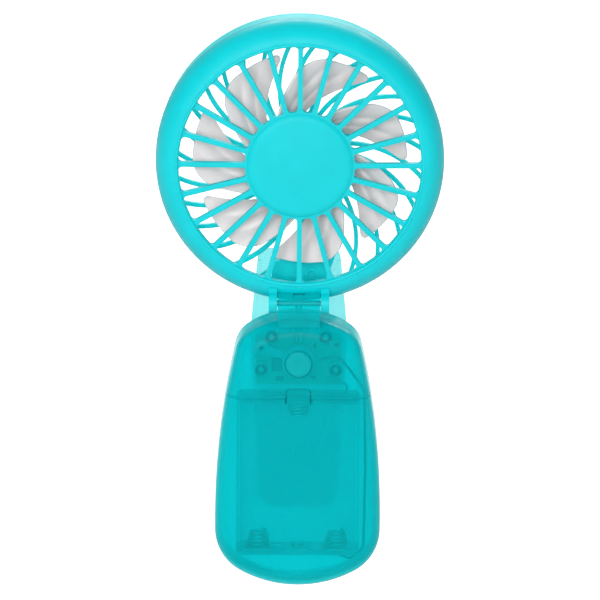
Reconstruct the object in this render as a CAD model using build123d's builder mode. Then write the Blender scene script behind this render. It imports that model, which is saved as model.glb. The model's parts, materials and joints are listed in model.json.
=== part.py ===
from build123d import *
from math import atan2, cos, degrees, radians, sin
import os

os.makedirs("parts", exist_ok=True)

# Battery hand fan with a fold-down head and a spring clip on its back.
# Frame: +Z up, the front faces -Y, +X to the right of someone facing the front.
# Origin: centre of the handle, on the plane where its front and rear shells part.

# --- driving dimensions, millimetres ---
WALL = 1.6
GAP = 0.3

# handle
HANDLE_HALF = 53.5          # half its height
FRONT_DEPTH = 11.5          # front face ahead of the parting plane
BACK_DEPTH = 10.5           # back face behind it
FRONT_EDGE_R = 7.0
BACK_EDGE_R = 2.0
DOME_R = 36.0               # curve of its top
SIDE_R = 305.0              # bow of its sides
BOTTOM_R = 45.5             # curve of its bottom
HANDLE_HALF_WIDTH = 31.95   # at its widest, WIDEST_Z
WIDEST_Z = -26.8
SHOULDER_R = 12.0           # rounding between top and sides
HEEL_R = 19.0               # rounding between sides and bottom
SEAM_Z = 22.8               # upper edge of the battery door
SEAM_GAP = 0.2
POST_PLACES = [(-10.4, 46.5), (10.4, 46.5), (-14.4, 33.6), (14.4, 33.6)]
FRONT_POST_R = 2.4
REAR_POST_R = 3.2
SCREW_R = 1.05
SCREW_HEAD_R = 1.9
SCREW_SEAT_Y = 3.0

# button and switch
BUTTON_Z = 36.6
BUTTON_R = 5.05
BUTTON_HOLE_R = 5.25
COLLAR_R = 6.9
BUTTON_FRONT_Y = -12.1
FLANGE_Y = -8.3
FLANGE_T = 0.9
EYELET = (-14.3, 42.3)      # X, Z of the button arm's fixing
ARM_WIDTH = 2.7
BOARD_Y = -3.6              # front face of the circuit board
BOARD_T = 1.2
BOARD_SIZE = (33.0, 19.9)
BOARD_Z = 36.45
SWITCH_TOP_Y = -6.5
PLUNGER_R = 1.75

# battery bay, for three AA cells side by side
CELL_PITCH = 15.0
BAY_HALF_WIDTH = 22.6
BAY_TOP_Z = 19.7
BAY_BOTTOM_Z = -39.6
TRAY_WALL = 1.2
TRAY_FLOOR_Y = 7.7
TRAY_FRONT_Y = -8.2
CONTACT_T = 0.4

# head
HEAD_Z = 115.5
HEAD_FRONT_Y = -13.0        # face of the hub disc
HEAD_R = 55.5
OPENING_R = 46.9
HUB_R = 20.8
SPOKES = 24
SPOKE_WIDTH = 1.9
HEAD_SEAM_Y = 0.5
HEAD_BACK_Y = 13.4
REAR_SPOKES = 28
REAR_SPOKE_WIDTH = 1.6
REAR_SPOKE_SWEEP = 31.5
REAR_SPOKE_FRONT_Y = 11.2
POD_R = 13.8
MOTOR_R = 12.2
MOTOR_FRONT_Y = -1.3
MOTOR_BACK_Y = 11.0
SHAFT_R = 1.0

# impeller
BLADES = 7
TIP_R = 41.5
CUP_R = 14.8

# fold hinge
PIN_Y = -13.0
PIN_Z = 61.4
PIN_R = 1.1
BARREL_R = 3.85
BARREL_HALF = 8.1
EAR_IN = 8.35
EAR_OUT = 11.65
LEAD_SLOT_HALF = 2.3

# clip
CLIP_PIN_Y = 15.0
CLIP_PIN_Z = 36.0
CLIP_PIN_R = 1.2
CLIP_TOP_Z = 74.2
CLIP_PLATE_Y = 20.0
CLIP_T = 2.0
LUG_R = 2.8

# leads
LEAD_R = 0.5


def front_plane(y):
    """Upright plane at depth y: its own x is +X, its own y is +Z, and it faces the front."""
    return Plane(origin=(0, y, 0), x_dir=(1, 0, 0), z_dir=(0, -1, 0))


def side_plane(x):
    """Upright plane at x: its own x is +Y, its own y is +Z, and it faces +X."""
    return Plane(origin=(x, 0, 0), x_dir=(0, 1, 0), z_dir=(1, 0, 0))


def head_plane(y):
    """Like front_plane, centred on the head."""
    return Plane(origin=(0, y, HEAD_Z), x_dir=(1, 0, 0), z_dir=(0, -1, 0))


HEAD_SIDE = Plane(origin=(0, 0, HEAD_Z), x_dir=(0, 1, 0), z_dir=(1, 0, 0))
HEAD_AXIS = Axis((0, 0, HEAD_Z), (0, 1, 0))


def finish(builder, name):
    """Names a finished piece and writes it."""
    builder.part.label = name
    export_step(builder.part, f"parts/{name}.step")


def corner(end, end_radius, inset):
    """X, Z where the curve of an end (1 is the top, -1 the bottom) meets the right side's curve."""
    run, rise = SIDE_R - HANDLE_HALF_WIDTH, end * (HANDLE_HALF - end_radius) - WIDEST_Z
    apart = (run**2 + rise**2) ** 0.5
    along = ((SIDE_R - inset) ** 2 - (end_radius - inset) ** 2 + apart**2) / (2 * apart)
    across = end * ((SIDE_R - inset) ** 2 - along**2) ** 0.5
    x = (along * run - across * rise) / apart - run
    z = (along * rise + across * run) / apart + WIDEST_Z
    return x, z


def handle_outline(inset=0.0):
    """Front view of the handle: domed top, bowed sides, curved bottom and rounded corners."""
    top, bottom, side = HANDLE_HALF - inset, inset - HANDLE_HALF, HANDLE_HALF_WIDTH - inset
    sx, sz = corner(1, DOME_R, inset)
    hx, hz = corner(-1, BOTTOM_R, inset)
    with BuildSketch() as outline:
        with BuildLine():
            ThreePointArc((-sx, sz), (0, top), (sx, sz))
            ThreePointArc((sx, sz), (side, WIDEST_Z), (hx, hz))
            ThreePointArc((hx, hz), (0, bottom), (-hx, hz))
            ThreePointArc((-hx, hz), (-side, WIDEST_Z), (-sx, sz))
        make_face()
        fillet(outline.vertices().group_by(Axis.Y)[-1], SHOULDER_R - inset)
        fillet(outline.vertices().group_by(Axis.Y)[0], HEEL_R - inset)
    return outline.sketch


def handle_half(depth, edge_radius, inset=0.0):
    """Half a handle from the parting plane out: forward when depth is positive, else back."""
    with BuildPart() as half:
        with BuildSketch(front_plane(0)):
            add(handle_outline(inset))
        extrude(amount=depth)
        outer_face = half.faces().sort_by(Axis.Y)[0 if depth > 0 else -1]
        fillet(outer_face.edges(), edge_radius)
    return half.part


def lead(points, bend):
    """One insulated wire along straight runs with rounded corners."""
    with BuildPart() as wire:
        with BuildLine() as route:
            FilletPolyline(*points, radius=bend)
        with BuildSketch(route.line ^ 0):
            Circle(LEAD_R)
        sweep(path=route.line)
    return wire.part


def coil(centre, axis_direction, base_r, height, turns, wire_r, cone=0.0):
    """A round-wire coil that starts at centre and climbs along axis_direction."""
    with BuildPart() as spring:
        with BuildLine() as path:
            Helix(height / turns, height, base_r, center=centre, direction=axis_direction, cone_angle=cone)
        with BuildSketch(path.line ^ 0):
            Circle(wire_r)
        sweep(path=path.line, is_frenet=True)
    return spring.part


# ---------------------------------------------------------------- handle shells

FRONT_INNER_Y = -(FRONT_DEPTH - WALL)
BACK_INNER_Y = BACK_DEPTH - WALL
BOARD_BACK_Y = BOARD_Y + BOARD_T

front_skin = handle_half(FRONT_DEPTH, FRONT_EDGE_R)
front_hollow = handle_half(FRONT_DEPTH - WALL, FRONT_EDGE_R - WALL, WALL)
back_skin = handle_half(-BACK_DEPTH, BACK_EDGE_R)
back_hollow = handle_half(-(BACK_DEPTH - WALL), BACK_EDGE_R - 1.0, WALL)

LATCH_HALF = 4.8
LATCH_TOP_Z = 26.8
LATCH_FOOT_Z = 20.4
LATCH_CLEARANCE = 0.25
POST_FRONT_Y = FRONT_INNER_Y - 0.1
STAKE_R = 0.9

with BuildPart() as front_cover:
    add(front_skin)
    add(front_hollow, mode=Mode.SUBTRACT)
    split(bisect_by=Plane.XY.offset(SEAM_Z + SEAM_GAP / 2), keep=Keep.TOP)
    # screw posts, which reach back through the circuit board
    with BuildSketch(front_plane(BOARD_BACK_Y)):
        with Locations(*POST_PLACES):
            Circle(FRONT_POST_R)
    extrude(amount=BOARD_BACK_Y - POST_FRONT_Y)
    with BuildSketch(front_plane(BOARD_BACK_Y)):
        with Locations(*POST_PLACES):
            Circle(SCREW_R + 0.02)
    extrude(amount=6.2, mode=Mode.SUBTRACT)
    # collar round the button, stiffening rib above it, stake for the button's arm
    with BuildSketch(front_plane(FRONT_INNER_Y + 1.3)):
        with Locations((0, BUTTON_Z)):
            Circle(COLLAR_R)
    extrude(amount=1.4)
    with BuildSketch(front_plane(-6.9)):
        with Locations((0, 46.9)):
            Rectangle(3.8, 7.2)
    extrude(amount=3.1)
    with BuildSketch(front_plane(-6.9)):
        with Locations(EYELET):
            Circle(STAKE_R)
    extrude(amount=3.1)
    with BuildSketch(front_plane(-6.3)):
        with Locations(EYELET):
            Circle(1.6)
    extrude(amount=0.8)
    # tongue and barrel of the fold hinge
    with BuildSketch(side_plane(0)):
        with Locations((PIN_Y, PIN_Z)):
            Circle(BARREL_R)
        with BuildLine():
            Polyline(
                (-14.3, PIN_Z - 3.4),
                (-11.0, 51.2),
                (-9.4, 50.4),
                (-5.6, 52.4),
                (-9.4, PIN_Z - 1.0),
                close=True,
            )
        make_face()
    extrude(amount=BARREL_HALF, both=True)
    # button hole, pin bore, lead slot behind the pin, and the latch's notch
    with BuildSketch(front_plane(-20)):
        with Locations((0, BUTTON_Z)):
            Circle(BUTTON_HOLE_R)
    extrude(amount=-14, mode=Mode.SUBTRACT)
    with BuildSketch(side_plane(0)):
        with Locations((PIN_Y, PIN_Z)):
            Circle(PIN_R + 0.05)
    extrude(amount=BARREL_HALF + 1, both=True, mode=Mode.SUBTRACT)
    with BuildSketch(side_plane(0)):
        with BuildLine():
            Polyline(
                (PIN_Y + 1.6, PIN_Z + 5),
                (PIN_Y + 1.6, PIN_Z - 2),
                (-9.4, 53.0),
                (-8.4, 49.4),
                (-5.2, 49.4),
                (-5.2, PIN_Z + 5),
                close=True,
            )
        make_face()
        with Locations((PIN_Y, PIN_Z + 5)):
            Rectangle(12, 4)
    extrude(amount=LEAD_SLOT_HALF, both=True, mode=Mode.SUBTRACT)
    with BuildSketch(front_plane(-20)):
        with Locations((0, SEAM_Z)):
            RectangleRounded(2 * LATCH_HALF, 2 * (LATCH_TOP_Z - SEAM_Z), 1.4)
    extrude(amount=-14, mode=Mode.SUBTRACT)
finish(front_cover, "front_cover")

SHELL_LUG_IN = 12.2
SHELL_LUG_OUT = 14.7


def lug_profile(reach_y, spread):
    """Side view of a clip lug: round about the clip's pin, widening to the wall at reach_y."""
    with BuildSketch() as lug:
        Circle(LUG_R)
        with BuildLine():
            side = 1 if reach_y > CLIP_PIN_Y else -1
            Polyline(
                (0, LUG_R),
                (reach_y - CLIP_PIN_Y, spread),
                (reach_y - CLIP_PIN_Y, -spread),
                (0, -LUG_R),
                (-side * 0.2, 0),
                close=True,
            )
        make_face()
    return lug.sketch


with BuildPart() as rear_shell:
    add(back_skin)
    add(back_hollow, mode=Mode.SUBTRACT)
    # screw posts that carry the circuit board
    with BuildSketch(front_plane(BACK_INNER_Y + 0.1)):
        with Locations(*POST_PLACES):
            Circle(REAR_POST_R)
    extrude(amount=BACK_INNER_Y + 0.1 - BOARD_BACK_Y)
    with BuildSketch(front_plane(BACK_DEPTH + 1)):
        with Locations(*POST_PLACES):
            Circle(SCREW_HEAD_R + 0.2)
    extrude(amount=BACK_DEPTH + 1 - SCREW_SEAT_Y, mode=Mode.SUBTRACT)
    with BuildSketch(front_plane(BACK_DEPTH + 1)):
        with Locations(*POST_PLACES):
            Circle(SCREW_R + 0.1)
    extrude(amount=BACK_DEPTH + 8, mode=Mode.SUBTRACT)
    # two lugs for the clip
    for side in (-1, 1):
        with BuildSketch(side_plane(side * (SHELL_LUG_IN + SHELL_LUG_OUT) / 2)):
            with Locations((CLIP_PIN_Y, CLIP_PIN_Z)):
                add(lug_profile(BACK_DEPTH - 0.4, 4.5))
        extrude(amount=(SHELL_LUG_OUT - SHELL_LUG_IN) / 2, both=True)
    with BuildSketch(side_plane(0)):
        with Locations((CLIP_PIN_Y, CLIP_PIN_Z)):
            Circle(CLIP_PIN_R)
    extrude(amount=20, both=True, mode=Mode.SUBTRACT)
finish(rear_shell, "rear_shell")

TONGUE_HALF = LATCH_HALF - LATCH_CLEARANCE
BLOCK_X = 12.0
BLOCK_Z = -49.0

with BuildPart() as battery_door:
    add(front_skin)
    add(front_hollow, mode=Mode.SUBTRACT)
    split(bisect_by=Plane.XY.offset(SEAM_Z - SEAM_GAP / 2), keep=Keep.BOTTOM)
    # sprung latch tongue with a finger ridge, freed by a slot along each side
    with BuildSketch(front_plane(FRONT_INNER_Y)):
        with Locations((0, LATCH_FOOT_Z)):
            RectangleRounded(2 * TONGUE_HALF, 2 * (LATCH_TOP_Z - LATCH_CLEARANCE - LATCH_FOOT_Z), 1.2)
    extrude(amount=WALL)
    with BuildSketch(front_plane(FRONT_INNER_Y + 1)):
        with Locations((-LATCH_HALF, SEAM_Z), (LATCH_HALF, SEAM_Z)):
            Rectangle(2 * LATCH_CLEARANCE, 2 * (SEAM_Z - LATCH_FOOT_Z))
    extrude(amount=4, mode=Mode.SUBTRACT)
    with BuildSketch(front_plane(-FRONT_DEPTH + 0.2)):
        with Locations((0, 22.2)):
            RectangleRounded(7.6, 1.2, 0.5)
    extrude(amount=0.6)
    # moulding marks inside, and two blocks that stiffen the bottom edge
    with BuildSketch(front_plane(FRONT_INNER_Y + 0.5)):
        with Locations((0, 16.8)):
            Circle(2.3)
        with Locations((0, -45.3)):
            Circle(0.6)
    extrude(amount=0.6)
    with BuildSketch(front_plane(-0.4)):
        add(handle_outline(WALL - GAP))
        add(handle_outline(WALL + 1.4), mode=Mode.SUBTRACT)
        with Locations((-BLOCK_X, BLOCK_Z), (BLOCK_X, BLOCK_Z)):
            Rectangle(5.0, 8.0, mode=Mode.INTERSECT)
    extrude(amount=4.0)
finish(battery_door, "battery_door")

# ---------------------------------------------------------------- battery bay

BAY_MID_Z = (BAY_TOP_Z + BAY_BOTTOM_Z) / 2
BAY_HEIGHT = BAY_TOP_Z - BAY_BOTTOM_Z
CELL_Y = TRAY_FLOOR_Y - 7.35
SPRING_WIRE_R = 0.4
SPRING_BASE_R = 4.4
SPRING_HEIGHT = 5.8
NUB_HEIGHT = 1.0
TAB_DEPTH = 3.2

with BuildPart() as battery_tray:
    with BuildSketch(front_plane(BACK_INNER_Y)):
        with Locations((0, BAY_MID_Z)):
            RectangleRounded(2 * (BAY_HALF_WIDTH + TRAY_WALL), BAY_HEIGHT + 2 * TRAY_WALL, 2.2)
    extrude(amount=BACK_INNER_Y - TRAY_FRONT_Y)
    with BuildSketch(front_plane(TRAY_FLOOR_Y)):
        with Locations((0, BAY_MID_Z)):
            RectangleRounded(2 * BAY_HALF_WIDTH, BAY_HEIGHT, 1.0)
    extrude(amount=30, mode=Mode.SUBTRACT)
    # slots that the end contacts' solder tabs pass through
    with BuildSketch(Plane.XY.offset(BAY_TOP_Z - 1)):
        with Locations((-CELL_PITCH, CELL_Y)):
            Rectangle(3.2, CONTACT_T + 0.2)
    extrude(amount=4, mode=Mode.SUBTRACT)
    with BuildSketch(Plane.XY.offset(BAY_BOTTOM_Z + 1)):
        with Locations((CELL_PITCH, CELL_Y)):
            Rectangle(3.2, CONTACT_T + 0.2)
    extrude(amount=-4, mode=Mode.SUBTRACT)
finish(battery_tray, "battery_tray")


def end_contact(wall_z, inward, flat_x=None, spring_x=None):
    """A plated contact on the bay wall at wall_z: a raised nub, a coned spring, or a linked pair."""
    places = [x for x in (flat_x, spring_x) if x is not None]
    plate_top = wall_z + inward * CONTACT_T
    spring = None
    if spring_x is not None:
        start = plate_top + inward * (SPRING_WIRE_R - 0.1)
        spring = coil(
            (spring_x, CELL_Y, start), (0, 0, inward), SPRING_BASE_R, SPRING_HEIGHT, 4, SPRING_WIRE_R, -15
        )
    with BuildPart() as contact:
        with BuildSketch(Plane.XY.offset(wall_z)):
            for x in places:
                with Locations((x, CELL_Y)):
                    RectangleRounded(11.0, 11.0, 1.0)
            if len(places) == 2:
                with Locations((sum(places) / 2, CELL_Y + 3)):
                    Rectangle(CELL_PITCH, 3.6)
        extrude(amount=inward * CONTACT_T)
        if flat_x is not None:
            with BuildSketch(Plane.XY.offset(plate_top)):
                with Locations((flat_x, CELL_Y)):
                    Circle(2.4)
            extrude(amount=inward * NUB_HEIGHT, taper=30)
        if len(places) == 1:
            with BuildSketch(Plane.XY.offset(wall_z)):
                with Locations((places[0], CELL_Y)):
                    Rectangle(2.6, CONTACT_T)
            extrude(amount=-inward * TAB_DEPTH)
        if spring is not None:
            add(spring)
    return contact


contact_top_positive = end_contact(BAY_TOP_Z, -1, flat_x=-CELL_PITCH)
finish(contact_top_positive, "contact_top_positive")
contact_top_link = end_contact(BAY_TOP_Z, -1, flat_x=CELL_PITCH, spring_x=0)
finish(contact_top_link, "contact_top_link")
contact_bottom_link = end_contact(BAY_BOTTOM_Z, 1, flat_x=0, spring_x=-CELL_PITCH)
finish(contact_bottom_link, "contact_bottom_link")
contact_bottom_negative = end_contact(BAY_BOTTOM_Z, 1, spring_x=CELL_PITCH)
finish(contact_bottom_negative, "contact_bottom_negative")

# ---------------------------------------------------------------- circuit board and switch

with BuildPart() as circuit_board:
    with BuildSketch(front_plane(BOARD_BACK_Y)):
        with Locations((0, BOARD_Z)):
            RectangleRounded(*BOARD_SIZE, 1.0)
        with Locations(*POST_PLACES):
            Circle(FRONT_POST_R + 0.2, mode=Mode.SUBTRACT)
    extrude(amount=BOARD_T)
finish(circuit_board, "circuit_board")

CHIP_PLACES = [(-8.4, 34.6, 4.0, 5.0, 1.5), (-7.2, 29.0, 3.2, 1.6, 1.1), (5.6, 29.4, 2.0, 1.2, 0.6)]
CHIP_PLACES += [(14.6, 42.4, 2.0, 1.2, 0.6), (6.2, 42.0, 1.2, 2.0, 0.6)]

with BuildPart() as board_components:
    for x, z, width, height, thickness in CHIP_PLACES:
        with BuildSketch(front_plane(BOARD_Y)):
            with Locations((x, z)):
                Rectangle(width, height)
        extrude(amount=thickness)
    with BuildSketch(front_plane(BOARD_Y)):
        with Locations((-15.0, 40.0)):
            Circle(1.0)
    extrude(amount=1.6)
finish(board_components, "board_components")

SWITCH_SIZE = 6.0

with BuildPart() as switch_body:
    with BuildSketch(front_plane(BOARD_Y)):
        with Locations((0, BUTTON_Z)):
            RectangleRounded(SWITCH_SIZE, SWITCH_SIZE, 0.5)
    extrude(amount=BOARD_Y - SWITCH_TOP_Y)
    with BuildSketch(front_plane(BOARD_Y - 0.4)):
        with Locations((0, BUTTON_Z)):
            Circle(PLUNGER_R + 0.1)
    extrude(amount=6, mode=Mode.SUBTRACT)
finish(switch_body, "switch_body")

PLUNGER_TOP_Y = FLANGE_Y + FLANGE_T + 0.1

with BuildPart() as switch_plunger:
    with BuildSketch(front_plane(PLUNGER_TOP_Y + 2.2)):
        with Locations((0, BUTTON_Z)):
            Circle(PLUNGER_R)
    extrude(amount=2.2)
    chamfer(switch_plunger.faces().sort_by(Axis.Y)[0].edges(), 0.25)
finish(switch_plunger, "switch_plunger")

with BuildPart() as power_button:
    with BuildSketch(front_plane(FLANGE_Y)):
        with Locations((0, BUTTON_Z)):
            Circle(BUTTON_R)
    extrude(amount=FLANGE_Y - BUTTON_FRONT_Y)
    fillet(power_button.faces().sort_by(Axis.Y)[0].edges(), 0.7)
    # flange behind the cover's collar, and the springy arm to its eyelet
    eyelet_x, eyelet_z = EYELET
    arm_run = ((eyelet_x, eyelet_z), (-4.6, BUTTON_Z + 2.25))
    with BuildSketch(front_plane(FLANGE_Y + FLANGE_T)):
        with Locations((0, BUTTON_Z)):
            Circle(COLLAR_R - 0.5)
        with Locations(EYELET):
            Circle(2.8)
        with BuildLine():
            Line(*arm_run)
        trace(line_width=ARM_WIDTH)
        with Locations(EYELET):
            Circle(STAKE_R + 0.15, mode=Mode.SUBTRACT)
    extrude(amount=FLANGE_T)
    # hollow back with a central stud over the switch
    with BuildSketch(front_plane(FLANGE_Y + FLANGE_T)):
        with Locations((0, BUTTON_Z)):
            Circle(BUTTON_R - 1.2)
            Circle(PLUNGER_R + 0.1, mode=Mode.SUBTRACT)
    extrude(amount=FLANGE_Y + FLANGE_T - BUTTON_FRONT_Y - 1.3, mode=Mode.SUBTRACT)
finish(power_button, "power_button")

with BuildPart() as housing_screws:
    with BuildSketch(front_plane(SCREW_SEAT_Y)):
        with Locations(*POST_PLACES):
            Circle(SCREW_R)
    extrude(amount=SCREW_SEAT_Y - BOARD_BACK_Y + 5.6)
    with BuildSketch(front_plane(SCREW_SEAT_Y + 1.4)):
        with Locations(*POST_PLACES):
            Circle(SCREW_HEAD_R)
    extrude(amount=1.4)
    fillet(housing_screws.faces().group_by(Axis.Y)[-1].edges(), 0.4)
    with BuildSketch(front_plane(SCREW_SEAT_Y + 2)):
        with Locations(*POST_PLACES):
            Rectangle(2.2, 0.5)
            Rectangle(0.5, 2.2)
    extrude(amount=1.3, mode=Mode.SUBTRACT)
finish(housing_screws, "housing_screws")

# ---------------------------------------------------------------- leads in the handle

CHANNEL_X = 25.6
LEAD_Y = BOARD_Y - LEAD_R
TAB_END = TAB_DEPTH - 0.6

negative_route = [
    (8.4, LEAD_Y, 36.6),
    (15.6, LEAD_Y - 0.4, 38.0),
    (20.6, LEAD_Y, 31.6),
    (CHANNEL_X, LEAD_Y + 1, 24.0),
    (CHANNEL_X + 0.5, LEAD_Y + 2, -8.0),
    (CHANNEL_X, LEAD_Y + 2.6, -39.5),
    (20.4, CELL_Y - 0.9, -44.2),
    (CELL_PITCH, CELL_Y - CONTACT_T / 2 - LEAD_R, BAY_BOTTOM_Z - TAB_END),
]
with BuildPart() as battery_lead_negative:
    add(lead(negative_route, [2.5, 3, 4, 20, 3, 1.5]))
finish(battery_lead_negative, "battery_lead_negative")

positive_route = [
    (11.0, LEAD_Y, 29.0),
    (19.4, LEAD_Y, 26.6),
    (18.0, LEAD_Y + 1.4, 22.7),
    (0.0, LEAD_Y + 1.0, 22.3),
    (-CELL_PITCH + 2.0, CELL_Y - 1.4, 22.4),
    (-CELL_PITCH, CELL_Y - CONTACT_T / 2 - LEAD_R, BAY_TOP_Z + TAB_END),
]
with BuildPart() as battery_lead_positive:
    add(lead(positive_route, [2, 1.8, 12, 1]))
finish(battery_lead_positive, "battery_lead_positive")

# the motor's two leads: up through the handle, across the fold behind its pin, into the head
LEAD_PAIR = 0.8             # half the distance between the two leads
HINGE_EXIT = (-8.3, 54.4)   # Y, Z where they leave the handle
HEAD_ENTRY = (-7.9, 63.1)   # Y, Z where they enter the head
NECK_X = 2.2                # middle of the lead duct's neck
DUCT_LEAD_Y = 9.6
TERMINAL_X = 1.6
TERMINAL_Y = 11.7
TERMINAL_Z = HEAD_Z - 5.5


def lead_pair(route, bend):
    """Two leads side by side; the route is given as (left X, right X, Y, Z) points."""
    left = [(left_x, y, z) for left_x, right_x, y, z in route]
    right = [(right_x, y, z) for left_x, right_x, y, z in route]
    sides = [lead(left, bend), lead(right, bend)]
    with BuildPart() as pair:
        add(sides)
    return pair


def straight_pair(*places):
    """Route points for two leads that run parallel, either side of the middle."""
    return [(-LEAD_PAIR, LEAD_PAIR, y, z) for y, z in places]


handle_route = straight_pair((LEAD_Y, 43.6), (LEAD_Y, 48.2), (-5.9, 50.6), HINGE_EXIT)
motor_leads_handle = lead_pair(handle_route, [1.5, 1.5])
finish(motor_leads_handle, "motor_leads_handle")
beside_pin_y, entry_z = PIN_Y + 2.5, HEAD_ENTRY[1]
hinge_route = straight_pair((-8.35, 54.5), (beside_pin_y, PIN_Z - 2.2))
hinge_route += straight_pair((beside_pin_y, entry_z), (-8.1, entry_z))
motor_leads_hinge = lead_pair(hinge_route, [2, 1.2])
finish(motor_leads_hinge, "motor_leads_hinge")
head_route = straight_pair(HEAD_ENTRY, (-2.2, 64.15), (2.9, 64.15), (8.5, 63.2), (DUCT_LEAD_Y, 67.2))
head_route += [
    (NECK_X - LEAD_PAIR, NECK_X + LEAD_PAIR, DUCT_LEAD_Y, 76.0),
    (NECK_X - LEAD_PAIR, NECK_X + LEAD_PAIR, DUCT_LEAD_Y, 97.5),
    (NECK_X - LEAD_PAIR, NECK_X + LEAD_PAIR, TERMINAL_Y, 101.0),
    (NECK_X - LEAD_PAIR, NECK_X + LEAD_PAIR, TERMINAL_Y, 105.4),
    (-TERMINAL_X, TERMINAL_X, TERMINAL_Y, TERMINAL_Z - 0.4),
]
motor_leads_head = lead_pair(head_route, [4, 4, 1, 3, 4, 3, 3, 1])
finish(motor_leads_head, "motor_leads_head")

# ---------------------------------------------------------------- head shells

RING_FRONT_Y = -11.4
RING_FULL_Y = -1.5          # depth at which the ring reaches its full radius
RING_LIP_R = 47.9
RING_BACK_R = 53.2          # flat part of its rear rim
RIM_ROUND = 1.4
SHELL_MATE_R = 53.75        # the rear shell's rim, inside the front shell

with BuildPart() as front_grille:
    # rounded outer ring
    with BuildSketch(HEAD_SIDE):
        with BuildLine():
            front_depth = RING_FULL_Y - RING_FRONT_Y
            EllipticalCenterArc((RING_FULL_Y, RING_LIP_R), front_depth, HEAD_R - RING_LIP_R, 90)
            ThreePointArc(
                (RING_FRONT_Y, RING_LIP_R),
                (RING_FRONT_Y + 0.29, RING_LIP_R - 0.71),
                (RING_FRONT_Y + 1, OPENING_R),
            )
            Line((RING_FRONT_Y + 1, OPENING_R), (-7.0, OPENING_R))
            Line((-7.0, OPENING_R), (-7.0, RING_LIP_R))
            Line((-7.0, RING_LIP_R), (RING_FULL_Y - front_depth + WALL, RING_LIP_R))
            EllipticalCenterArc(
                (RING_FULL_Y, RING_LIP_R), front_depth - WALL, HEAD_R - RING_LIP_R - WALL, 90
            )
            Line((RING_FULL_Y, HEAD_R - WALL), (HEAD_SEAM_Y, HEAD_R - WALL))
            Line((HEAD_SEAM_Y, HEAD_R - WALL), (HEAD_SEAM_Y, HEAD_R))
            Line((HEAD_SEAM_Y, HEAD_R), (RING_FULL_Y, HEAD_R))
        make_face()
        with Locations((RING_FRONT_Y + 0.25, RING_LIP_R - 0.45)):
            Circle(0.6)
    revolve(axis=HEAD_AXIS)
    # shallow cone that becomes the spokes, and the hub disc with its skirt
    with BuildSketch(HEAD_SIDE):
        with BuildLine():
            Polyline((-11.4, 19.8), (-10.5, 47.2), (-7.9, 47.2), (-9.0, 19.8), close=True)
        make_face()
    revolve(axis=HEAD_AXIS)
    with BuildSketch(HEAD_SIDE):
        with BuildLine():
            hub_places = [(-13.0, 0), (-12.88, 9.5), (-12.5, 16.6), (-11.9, 19.7), (-10.4, HUB_R)]
            hub_face = Spline(*hub_places, tangents=[(0, 1), (1, 0)])
            Polyline(
                hub_face @ 1,
                (-9.0, HUB_R),
                (-9.0, HUB_R - 1.5),
                (-11.1, HUB_R - 1.5),
                (-11.1, 0),
                hub_face @ 0,
            )
        make_face()
    revolve(axis=HEAD_AXIS)
    # openings between the spokes
    pitch = 360 / SPOKES
    apex = SPOKE_WIDTH / 2 / sin(radians(pitch / 2))
    reach = 60.0
    with BuildSketch(mode=Mode.PRIVATE) as cell:
        Circle(OPENING_R - 0.3)
        Circle(HUB_R + 0.3, mode=Mode.SUBTRACT)
        with BuildLine():
            edge = radians(pitch / 2)
            Polyline(
                (apex, 0),
                (apex + reach * cos(edge), reach * sin(edge)),
                (apex + reach * cos(edge), -reach * sin(edge)),
                close=True,
            )
        make_face(mode=Mode.INTERSECT)
        fillet(cell.vertices(), 1.4)
    with BuildSketch(head_plane(-5.5)):
        with PolarLocations(0, SPOKES, start_angle=pitch / 2):
            add(cell.sketch)
    extrude(amount=8, mode=Mode.SUBTRACT)
    # ears of the fold hinge
    for side in (-1, 1):
        with BuildSketch(side_plane(side * (EAR_IN + EAR_OUT) / 2)):
            with Locations((PIN_Y, PIN_Z)):
                Circle(BARREL_R)
            with BuildLine():
                Polyline(
                    (PIN_Y - BARREL_R, PIN_Z),
                    (-11.5, 66.9),
                    (-8.0, 66.0),
                    (-7.6, 63.4),
                    (PIN_Y + 3.0, PIN_Z - 2.4),
                    (PIN_Y, PIN_Z),
                    close=True,
                )
            make_face()
        extrude(amount=(EAR_OUT - EAR_IN) / 2, both=True)
    # room for the handle's barrel, bores for the pin, and the leads' way in
    with BuildSketch(side_plane(0)):
        with Locations((PIN_Y, PIN_Z)):
            Circle(BARREL_R + GAP)
    extrude(amount=EAR_IN, both=True, mode=Mode.SUBTRACT)
    with BuildSketch(side_plane(-EAR_OUT + 0.8)):
        with Locations((PIN_Y, PIN_Z)):
            Circle(PIN_R)
    extrude(amount=2 * EAR_OUT, mode=Mode.SUBTRACT)
    with BuildSketch(side_plane(0)):
        with Locations((-8.4, HEAD_ENTRY[1])):
            Rectangle(6.4, 2.2)
    extrude(amount=LEAD_SLOT_HALF, both=True, mode=Mode.SUBTRACT)
finish(front_grille, "front_grille")

PIN_HALF = EAR_OUT - 0.8

with BuildPart() as hinge_pin:
    with BuildSketch(side_plane(-PIN_HALF)):
        with Locations((PIN_Y, PIN_Z)):
            Circle(PIN_R)
    extrude(amount=2 * PIN_HALF)
    chamfer(hinge_pin.edges().filter_by(GeomType.CIRCLE), 0.2)
finish(hinge_pin, "hinge_pin")

DUCT_FRONT_Y = 6.4
DUCT_BACK_Y = 13.2
COVER_T = 1.2
DUCT_WALL = 1.2
DUCT_FOOT_R = 53.5          # the duct's foot runs into the ring
COVER_FOOT_Z = 64.4
DUCT_SHOULDER_Z = 72.6
DUCT_HALF = 10.5
NECK_HALF = 2.9
NECK_FOOT_Z = 75.4
NECK_HEAD_Z = 102.6
BOSS_Y = 5.8                 # front of the cover's boss round that post
COVER_POST = (4.9, 67.6)    # X, Z of the moulded post that holds the lead cover


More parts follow.
